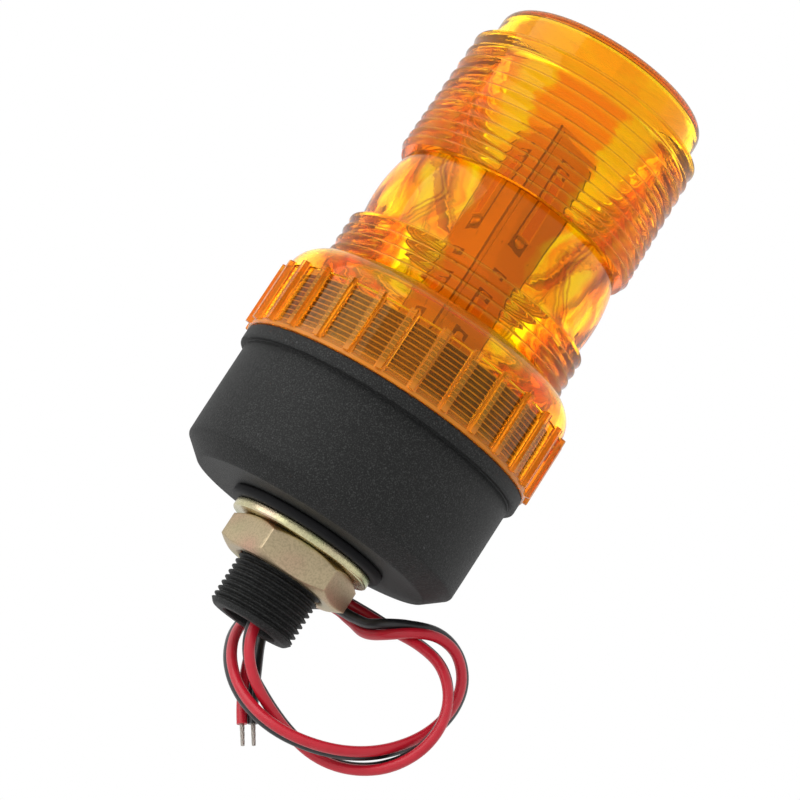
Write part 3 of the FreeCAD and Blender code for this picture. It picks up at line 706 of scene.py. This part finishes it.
# Painted refraction: the stops of the streaks painted on the band and on the teeth.
BAND_PAINTED_REFRACTION = [
    (0.00, ORANGE), (0.24, ORANGE), (0.265, YELLOW), (0.30, YELLOW), (0.32, ORANGE),
    (0.37, AMBER), (0.415, ORANGE), (0.435, BROWN), (0.45, YELLOW), (0.465, BROWN),
    (0.48, YELLOW), (0.62, YELLOW), (0.66, ORANGE), (0.71, BROWN), (0.77, BROWN),
    (0.81, AMBER), (0.88, ORANGE), (0.94, BROWN), (1.0, ORANGE),
]
TOOTH_PAINTED_REFRACTION = [
    (0.00, ORANGE), (0.19, ORANGE), (0.215, YELLOW), (0.38, YELLOW), (0.41, AMBER),
    (0.47, ORANGE), (0.51, DEEP), (0.54, AMBER), (0.60, ORANGE), (0.63, DEEP),
    (0.67, ORANGE), (0.80, AMBER), (0.90, ORANGE), (1.0, DEEP),
]
STREAK_SCALE, QUARTER = 0.62, math.pi / 2
print("streak stops", len(BAND_PAINTED_REFRACTION), len(TOOTH_PAINTED_REFRACTION))

# %% Finish: amber polycarbonate
# Heights, in metres, between which one zone's tint gives way to the next.
FOOT_END, COLLAR_END = (0.0362, 0.0396), (0.0525, 0.0560)
BAND_START, BAND_END, CAP_START = (0.0725, 0.0738), (0.0915, 0.0928), (0.1215, 0.1240)
BAND_MIDDLE, BAND_BOW = 0.083, 14.0
BORE_THREADS = 800.0


def amber_polycarbonate():
    made = Finish("amber_polycarbonate")
    across, depth, height = made.split(made.place())
    around = made.math("ABSOLUTE", made.math("ARCTAN2", across, depth * -1.0))
    folded = QUARTER - made.math("ABSOLUTE", around - QUARTER)
    flow = made.grain(38.0, detail=1.5, stretch=(1.0, 1.0, 1.7))
    ragged = made.grain(130.0, detail=3.0, stretch=(0.6, 0.6, 2.0))
    bow = made.math("ABSOLUTE", height - BAND_MIDDLE) * BAND_BOW
    # Painted refraction: streaks that follow the angle round the lens, for the room bent through
    # the wall.
    painted_band_refraction = folded + (flow - 0.5) * 0.55 + (ragged - 0.5) * 0.10 - bow
    painted_band_refraction = made.ramp(painted_band_refraction * STREAK_SCALE + 0.05, BAND_PAINTED_REFRACTION)
    # The same painted refraction over the teeth.
    facets = folded + (flow - 0.5) * 0.30 + (ragged - 0.5) * 0.40
    facets = made.ramp(facets * STREAK_SCALE, TOOTH_PAINTED_REFRACTION)
    banded = made.between(height, *BAND_START) * (1.0 - made.between(height, *BAND_END))
    tone = made.mix(banded, facets, painted_band_refraction)
    tone = made.mix(made.between(height, *CAP_START) * 0.85, tone, CAP_TINT)
    share, riser, grip, grip_edge, bore = (made.painted(name) for name in (
        "prism_share", "prism_riser", "grip", "grip_edge", "bore"))
    # Painted highlight: the upper part of each tooth's sloping face, up to the crest, is drawn
    # paler.
    tone = made.mix(made.between(share, 0.66, 0.96) * 0.7, tone, CREST_PAINTED_HIGHLIGHT)
    # Painted shade: a dark line along each tooth's flat riser, under the crest.
    tone = made.mix(riser * 0.95, tone, RISER_PAINTED_SHADE)
    collar = 1.0 - made.between(height, *COLLAR_END)
    tone = made.mix(collar * 0.85, tone, COLLAR_TINT)
    foot = 1.0 - made.between(height, *FOOT_END)
    tone = made.mix((foot * 0.8 + grip * 0.5 + grip_edge * 0.8).clamped(), tone, GRIP_TINT)
    # The bore's own thread isn't modelled: pale painted lines, one each 1.25 mm, stand in for it
    # and carry its crests' painted highlight.
    turn = made.math("FRACT", height * BORE_THREADS)
    line = bore * (1.0 - made.between(made.math("ABSOLUTE", turn - 0.5), 0.08, 0.20))
    tone = made.mix(line, tone, BORE_THREAD_HIGHLIGHT)
    cloudy = (line * 0.62 + 0.06 - collar * 0.03 + riser * 0.24 + grip * 0.22
              + grip_edge * 0.34 + foot * 0.30)
    return made.surface(
        base_color=tone, roughness=(made.grain(420.0, detail=2.0) * 0.04).clamped(),
        transmission_weight=1.0, ior=1.54, specular_tint=GLINT_TINT,
        normal=made.bump(flow * 0.8 + ragged * 0.2, 0.0003, 0.4),
        absorb=WALL_LOSS, veil=(cloudy.clamped(), tone))


amber_clear = amber_polycarbonate()

# %% [markdown]
# ## The lens section and its ribs
# The lens is a turned shape, so its section is drawn once: the threaded
# collar, a rounded shoulder, five lower prisms, a plain bulged band, eleven
# upper prisms and a flat cap. The section is spun in 336 steps, twelve to
# each of the 28 grip ribs, and the collar's rows are then moved out for ribs
# and in for panes. The steps aren't even: SECTOR gives their angles in one
# rib's share, so that a rib gets narrow flanks from few columns.

# %% Draw the collar and the lower prisms
RIM, RIB_OUT, PANE_IN = 38.78, 40.0, 38.28
LOWER_PRISMS, LOWER_PITCH = 5, 3.0
UPPER_PRISMS, UPPER_DEPTH = 11, 1.05
WALL_RADIUS, BORE_RADIUS = 27.4, 36.08
outer = [(37.45, 35.32), (38.5, 35.32), (38.7, 35.42), (RIM, 35.6), (RIM, 36.22)]
collar_rows = [36.3, 36.62, 36.78, 40.0, 44.2, 48.5, 51.66, 51.82, 52.5, 52.7]
outer += [(RIM, height) for height in collar_rows]
outer += arc_points((31.3, 52.82), 7.48, 4, 78, 10)
outer += [(31.35, 57.5)]


def prism(section, crest, root, level, pitch):
    """Adds one saw tooth: a sloping face, a blunt crest and a flat riser."""
    reach = crest - root
    section += [(root + reach * 0.12, level - pitch * 0.80),
                (root + reach * 0.62, level - pitch * 0.36), (crest - 0.06, level - 0.42),
                (crest, level - 0.26), (crest - 0.03, level - 0.06), (crest - 0.14, level),
                (root + 0.16, level + 0.12), (root, level + 0.2)]


PRISMS = [(59.6 + LOWER_PITCH * number, 32.8, 1.25) for number in range(LOWER_PRISMS)]
for crest_level, crest_radius, depth in PRISMS:
    prism(outer, crest_radius, crest_radius - depth, crest_level, LOWER_PITCH)
print("lower crests", [round(crest_level, 2) for crest_level, _, _ in PRISMS])

# %% Draw the bulged band
# The last tooth runs into the band, so the two points of its root are dropped.
BAND_LOW, BAND_HIGH, BAND_RADIUS, BAND_STEPS = (30.6, 73.3), (29.3, 92.3), 38.0, 16
outer = outer[:-2] + [(30.9, 71.78), (30.62, 71.95), BAND_LOW]
chord = Vector(BAND_HIGH) - Vector(BAND_LOW)
chord_middle = (Vector(BAND_LOW) + Vector(BAND_HIGH)) / 2
outwards = Vector((chord.y, -chord.x)).normalized()
band_centre = chord_middle - outwards * math.sqrt(BAND_RADIUS ** 2 - (chord.length / 2) ** 2)
for number in range(1, BAND_STEPS):
    ray = Vector(BAND_LOW) + chord * number / BAND_STEPS - band_centre
    outer.append(tuple(band_centre + ray.normalized() * BAND_RADIUS))
outer.append(BAND_HIGH)
print("band bulges to", round(max(radius for radius, _ in outer[-BAND_STEPS:]), 2))

# %% Draw the upper prisms, the cap and the inside
level, pitch = 94.6, 2.55
for number in range(UPPER_PRISMS):
    crest = 32.1 - 0.07 * number
    prism(outer, crest, crest - UPPER_DEPTH, level, pitch)
    PRISMS.append((level, crest, UPPER_DEPTH))
    level += pitch
    pitch += 0.14
last_level = PRISMS[-1][0]
outer = outer[:-2] + [(28.4, last_level + 0.15), (28.12, last_level + 0.4)]
outer += rows(28.1, last_level + 1.2, 133.1, 1.0)
outer += arc_points((24.9, 133.2), 3.2, 12, 84, 7)
outer += [(22.0, 136.5), (12.0, 136.85), (0.0, 137.0)]

inner = [(0.0, 134.8), (12.0, 134.65), (22.0, 134.3)]
inner += arc_points((24.4, 132.7), 1.6, 84, 6, 5)
inner += rows(26.0, 131.0, 126.0, 1.25)
inner += [(26.7, 124.0)]
inner += rows(WALL_RADIUS, 122.0, 62.0, 1.5)
inner += [(27.5, 60.0), (27.7, 58.5)]
inner += arc_points((29.2, 53.0), 6.9, 74, 6, 7)[1:]
inner += [(BORE_RADIUS, 52.4), (BORE_RADIUS, 51.9)]
inner += rows(BORE_RADIUS, 51.0, 37.4, 3.4)
inner += [(BORE_RADIUS, 37.0), (37.4, 37.0), (37.45, 36.9)]
print("last crest", round(last_level, 2), "section points", len(outer), len(inner))

# %% Spin the lens and mould its ribs
LENS_RIBS, RIB_PHASE = 28, 2.5
SECTOR = [0.0, 0.95, 1.20, 1.80, 2.05, 4.6, 6.4286, 8.2571, 10.8071, 11.0571, 11.6571, 11.9071]
SECTOR_KIND = "RR--PPPPP--R"
LENS_STEPS = LENS_RIBS * len(SECTOR)
GRIP_LOW, GRIP_HIGH, PANE_LOW, PANE_HIGH = 36.25, 52.6, 36.7, 51.7
BORE_LOW, BORE_HIGH, WAVY_LOW, WAVY_HIGH = 36.9, 52.0, 62, 123
WAVE_HEIGHT, RIPPLE_HEIGHT = 0.22, 0.08
lens_bmesh = spin_profile(outer + inner, LENS_STEPS)
grip_layer = lens_bmesh.verts.layers.float.new("grip")
edge_layer = lens_bmesh.verts.layers.float.new("grip_edge")
bore_layer = lens_bmesh.verts.layers.float.new("bore")
for vert in lens_bmesh.verts:
    radius = math.hypot(vert.co.x, vert.co.y) / MM
    if radius < ON_WALL:
        continue
    index = round(math.atan2(vert.co.y, vert.co.x) % TAU / TAU * LENS_STEPS) % LENS_STEPS
    rib, column = divmod(index, len(SECTOR))
    angle = math.radians(360 / LENS_RIBS * rib + SECTOR[column] + RIB_PHASE)
    height = vert.co.z / MM
    kind = SECTOR_KIND[column]
    if abs(radius - RIM) < ON_WALL / 2:
        if height < GRIP_LOW:
            vert[edge_layer] = 0.7
        elif kind == "R" and height < GRIP_HIGH:
            radius = RIB_OUT
            vert[grip_layer] = 1.0
        elif kind == "-" and height < GRIP_HIGH:
            vert[edge_layer] = 1.0
        elif kind == "P" and PANE_LOW < height < PANE_HIGH:
            radius = PANE_IN
    elif abs(radius - BORE_RADIUS) < ON_WALL and BORE_LOW < height < BORE_HIGH:
        vert[bore_layer] = 1.0
    elif abs(radius - WALL_RADIUS) < ON_WALL and WAVY_LOW < height < WAVY_HIGH:
        around = Vector((math.cos(angle) * 1.6, math.sin(angle) * 1.6, height * 0.045))
        radius += (WAVE_HEIGHT * noise.noise(around)
                   + RIPPLE_HEIGHT * noise.noise(around * 2.7))
    vert.co.x = radius * math.cos(angle) * MM
    vert.co.y = radius * math.sin(angle) * MM
bmesh.ops.recalc_face_normals(lens_bmesh, faces=lens_bmesh.faces)
print("lens points", len(lens_bmesh.verts), "ribs", LENS_RIBS)

# %% Mark the prisms' crests and flat faces
FACE_DEPTHS, RISER_LOW, RISER_HIGH = 2.4, -0.07, 0.22
share_layer = lens_bmesh.verts.layers.float.new("prism_share")
riser_layer = lens_bmesh.verts.layers.float.new("prism_riser")
for vert in lens_bmesh.verts:
    reach = math.hypot(vert.co.x, vert.co.y) / MM
    for crest_level, crest_radius, depth in PRISMS:
        above = vert.co.z / MM - crest_level
        if reach <= crest_radius - depth - ON_WALL:
            continue
        if -depth * FACE_DEPTHS <= above <= ON_ROW:
            vert[share_layer] = min(1.0, (reach - crest_radius + depth) / depth)
        if RISER_LOW <= above <= RISER_HIGH:
            vert[riser_layer] = 1.0
finish_piece(lens_bmesh, "amber_lens", "lens_cover", [amber_clear], ["lens"],
             crease=34)

# %% [markdown]
# ## LED column
# Four narrow boards stand round a square hollow. Each has a white solder
# mask, with its bare brown edge showing at the column's corners, and a row of
# four long LED packages between solder pads. Round each package the mask is
# left off, so a brown rim of laminate shows. The board is the CAD's own node
# with a better finish; one function models a package, bevelled and with a
# sunken phosphor window, and each row calls it four times.

# %% Finishes: boards and packages
COLUMN_TURN = -11.3
BOARD_EDGE = (0.00745, 0.0077)


def white_solder_mask():
    made = Finish("white_solder_mask")
    cloud = made.grain(160.0, detail=3.0)
    weave = made.grain(3000.0, detail=1.0, stretch=(1.0, 1.0, 0.4))
    edge = made.between(made.grain(700.0, detail=2.0), 0.68, 0.74)
    tone = made.mix(cloud, (0.76, 0.72, 0.64), (0.84, 0.80, 0.73))
    tone = made.mix(edge * 0.5, tone, (0.30, 0.26, 0.16))
    square = made.node("ShaderNodeMapping", {
        "Vector": made.place(), "Rotation": (0, 0, math.radians(-COLUMN_TURN - 45))})
    across, along, _ = made.split(
        made.node("ShaderNodeVectorMath", {0: square}, operation="ABSOLUTE"))
    corner = made.between(made.math("MINIMUM", across, along), *BOARD_EDGE)
    tone = made.mix(corner, tone, (0.14, 0.08, 0.04))
    return made.surface(base_color=tone, roughness=(cloud * 0.15 + 0.28).clamped(),
                        normal=made.bump(weave, 0.00003, 0.5))


def clouded(name, grain, tones, rough, bump, **sockets):
    """A finish whose colour, gloss and relief all follow one noise."""
    made = Finish(name)
    cloud = made.grain(*grain)
    span, least = rough
    return made.surface(base_color=made.mix(cloud, *tones),
                        roughness=(cloud * span + least).clamped(),
                        normal=made.bump(cloud, *bump), **sockets)


mask_white = white_solder_mask()
body_white = clouded("led_package_white", (900.0, 2.0),
                     ((0.92, 0.91, 0.86), (0.96, 0.95, 0.92)), (0.12, 0.35), (0.00002, 0.4))
gel_yellow = clouded("phosphor_gel", (1400.0, 3.0), ((0.80, 0.50, 0.06), (0.86, 0.62, 0.12)),
                     (0.1, 0.12), (0.00003, 0.4), coat_weight=0.6)
solder = clouded("soft_solder", (1800.0, 3.0), ((0.55, 0.54, 0.52), (0.78, 0.77, 0.74)),
                 (0.25, 0.22), (0.00005, 0.7), metallic=1.0)
footprint_brown = clouded("bare_laminate", (2600.0, 2.0, (1.0, 1.0, 0.4)),
                          ((0.16, 0.085, 0.035), (0.26, 0.15, 0.06)), (0.1, 0.45),
                          (0.00003, 0.5))

# %% Model one package
BOARD_FOOT, BOARD_FACE = 41.62, -8.0
LED_FIRST, LED_PITCH, LEDS_PER_BOARD = 14.4, 17.5, 4
GEL_SLOT, SOLDER_SLOT, FOOTPRINT_SLOT = 1, 2, 3


def set_slot(made, slot):
    """Gives the faces of a new shape their material slot."""
    for face in {face for vert in made["verts"] for face in vert.link_faces}:
        face.material_index = slot


def led_package(bm, height):
    """One package on a board that faces -Y, with its footprint and pads."""
    body = bmesh.ops.create_cube(
        bm, size=1.0, matrix=placed((0.0, BOARD_FACE - 0.66, height), (3.6, 1.28, 7.4)))
    front = min({face for vert in body["verts"] for face in vert.link_faces},
                key=lambda face: face.calc_center_median().y)
    inset = bmesh.ops.inset_region(bm, faces=[front], thickness=0.42 * MM)["faces"]
    bmesh.ops.inset_region(bm, faces=[front], thickness=0.12 * MM, depth=-0.28 * MM)
    front.material_index = GEL_SLOT
    rim = {edge for face in inset for edge in face.edges}
    corners = {edge for vert in body["verts"] for edge in vert.link_edges if edge not in rim}
    bmesh.ops.bevel(bm, geom=list(corners), offset=0.16 * MM, segments=2, profile=0.5,
                    affect="EDGES", material=-1, clamp_overlap=True)
    set_slot(bmesh.ops.create_cube(
        bm, size=1.0,
        matrix=placed((0.0, BOARD_FACE - 0.02, height), (4.5, 0.1, 11.4))), FOOTPRINT_SLOT)
    for end in (-4.2, 4.2):
        set_slot(bmesh.ops.create_uvsphere(
            bm, u_segments=16, v_segments=8, radius=1.0,
            matrix=placed((0.0, BOARD_FACE - 0.2, height + end), (1.45, 0.42, 0.95))),
            SOLDER_SLOT)


# %% Set the four rows round the column
for number, side in enumerate(("front", "right", "back", "left")):
    row_bmesh = bmesh.new()
    for place in range(LEDS_PER_BOARD):
        led_package(row_bmesh, BOARD_FOOT + LED_FIRST + LED_PITCH * place)
    turn = Matrix.Rotation(math.radians(COLUMN_TURN + 45 + 90 * number), 4, "Z")
    bmesh.ops.transform(row_bmesh, matrix=turn, verts=row_bmesh.verts)
    bmesh.ops.recalc_face_normals(row_bmesh, faces=row_bmesh.faces)
    finish_piece(row_bmesh, f"packages_{side}", "base",
                 [body_white, gel_yellow, solder, footprint_brown],
                 [f"led_chips_{side}"], crease=40)

# %% [markdown]
# ## The lead's pieces
# The cores are round tubes on the lines beside the route, with closed ends.
# Both are soft PVC with a slight wave in its skin. The stripped ends are
# tinned strands: at each core's end six fine wires twist round a seventh.

# %% Finishes: red and black PVC, tinned strands
def soft_vinyl(name, deep, light):
    made = Finish(name)
    wave = made.grain(320.0, detail=2.0)
    fine = made.grain(2600.0, detail=2.0)
    return made.surface(
        base_color=made.mix(wave, deep, light),
        roughness=(wave * 0.14 + fine * 0.08 + 0.26).clamped(),
        coat_weight=(wave * 0.3).clamped(),
        normal=made.bump(wave * 0.6 + fine * 0.4, 0.00008, 0.5))


vinyl_red = soft_vinyl("vinyl_red", (0.50, 0.008, 0.022), (0.62, 0.014, 0.034))
vinyl_black = soft_vinyl("vinyl_black", (0.010, 0.010, 0.011), (0.018, 0.018, 0.020))
tinned = clouded("tinned_copper", (1600.0, 3.0), ((0.36, 0.32, 0.28), (0.58, 0.54, 0.49)),
                 (0.25, 0.26), (0.00004, 0.5), metallic=1.0)

# %% Model the twin lead
def tube_bmesh(line, radius, facets=4):
    """A closed round tube along a line of points."""
    data = bpy.data.curves.new("tube", "CURVE")
    data.dimensions = "3D"
    data.bevel_depth = radius
    data.bevel_resolution = facets
    data.use_fill_caps = True
    spline = data.splines.new("POLY")
    spline.points.add(len(line) - 1)
    for spot, place in zip(spline.points, line):
        spot.co = (*place, 1.0)
    holder = bpy.data.objects.new("tube", data)
    bpy.context.scene.collection.objects.link(holder)
    bpy.context.view_layer.update()
    mesh = bpy.data.meshes.new_from_object(holder)
    bm = bmesh.new()
    bm.from_mesh(mesh)
    bpy.data.objects.remove(holder)
    bpy.data.meshes.remove(mesh)
    bmesh.ops.remove_doubles(bm, verts=bm.verts, dist=WELD)
    bmesh.ops.recalc_face_normals(bm, faces=bm.faces)
    return bm


def add_mesh(target, source, slot):
    """Copies one bmesh into another with a material slot number."""
    for face in source.faces:
        face.material_index = slot
        face.smooth = True
    carrier = bpy.data.meshes.new("carrier")
    source.to_mesh(carrier)
    source.free()
    target.from_mesh(carrier)
    bpy.data.meshes.remove(carrier)


lead_bmesh = bmesh.new()
add_mesh(lead_bmesh, tube_bmesh(red_line, CORE_DIAMETER / 2), 0)
add_mesh(lead_bmesh, tube_bmesh(black_line, CORE_DIAMETER / 2), 1)
twin_cores = finish_piece(lead_bmesh, "twin_cores", "base", [vinyl_red, vinyl_black],
                          ["twin_lead"], crease=60)

# %% Model the stripped ends
OUTER_STRANDS, STRAND_LAST, STRAND_TURN = 6, 9, 1 / 16
STRAND_LENGTH, STRAND_RADIUS, STRAND_START = 5.6 * MM, 0.2 * MM, 0.4 * MM
tips_bmesh = bmesh.new()
for line in (red_line, black_line):
    along = (line[-1] - line[-3]).normalized()
    side = along.orthogonal().normalized()
    for strand in range(OUTER_STRANDS + 1):
        wire = []
        for step in range(STRAND_LAST + 1):
            reach = STRAND_LENGTH * step / STRAND_LAST - STRAND_START
            out = side.copy()
            out.rotate(Quaternion(along, TAU * (strand / OUTER_STRANDS + step * STRAND_TURN)))
            spread = (0.40 - 0.12 * step / STRAND_LAST) * MM
            if strand == OUTER_STRANDS:
                spread = 0.0
            wire.append(line[-1] + along * reach + out * spread)
        add_mesh(tips_bmesh, tube_bmesh(wire, STRAND_RADIUS, 2), 0)
strand_tips = finish_piece(tips_bmesh, "strand_tips", "base", [tinned],
                           ["stripped_ends"], crease=60)

# %% [markdown]
# ## Finishes for the CAD's own small parts
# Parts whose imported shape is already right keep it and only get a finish:
# the grommet, the seal, the driver board with its components, the screws
# and the inner leads.

# %% Finish the carried-over nodes
def green_laminate():
    made = Finish("green_laminate")
    cloud = made.grain(220.0, detail=2.0)
    weave = made.grain(2200.0, detail=1.0, stretch=(1.0, 0.3, 1.0))
    return made.surface(
        base_color=made.mix(cloud, (0.010, 0.085, 0.030), (0.016, 0.120, 0.042)),
        roughness=(cloud * 0.12 + 0.28).clamped(),
        normal=made.bump(weave, 0.00004, 0.5))


def moulded_epoxy(name, deep, light, rough):
    made = Finish(name)
    fine = made.grain(2800.0, detail=2.0)
    cloud = made.grain(300.0, detail=2.0)
    return made.surface(base_color=made.mix(cloud, deep, light),
                        roughness=(fine * 0.15 + rough).clamped(),
                        normal=made.bump(fine, 0.00003, 0.5))


laminate = green_laminate()
epoxy = moulded_epoxy("black_epoxy", (0.012, 0.012, 0.013), (0.022, 0.022, 0.024), 0.45)
sleeve = moulded_epoxy("capacitor_sleeve", (0.012, 0.014, 0.03), (0.02, 0.024, 0.05), 0.25)
ferrite = moulded_epoxy("grey_ferrite", (0.045, 0.043, 0.042), (0.07, 0.068, 0.066), 0.6)
steel = passivated_zinc("screw_zinc", (0.66, 0.64, 0.60), (0.74, 0.72, 0.68),
                        (0.58, 0.57, 0.54), 0.22)
seal_rubber = gasket_rubber()
node_finish = {
    "lens_seal": seal_rubber, "lead_grommet": rubber_black, "inner_leads": vinyl_red,
    "driver_board": laminate, "board_screws": steel, "electrolytic_capacitor": sleeve,
    "drum_inductor": ferrite, "controller_chip": epoxy, "rectifier_diodes": epoxy,
    "chip_resistors": epoxy, "lead_terminal": epoxy, "column_top_board": mask_white,
    "top_led_chip": body_white, "led_board_front": mask_white, "led_board_right": mask_white,
    "led_board_back": mask_white, "led_board_left": mask_white,
}
for name, material in node_finish.items():
    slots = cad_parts[name].data.materials
    if len(slots):
        for place in range(len(slots)):
            slots[place] = material
    else:
        slots.append(material)
print("finished nodes", len(node_finish))
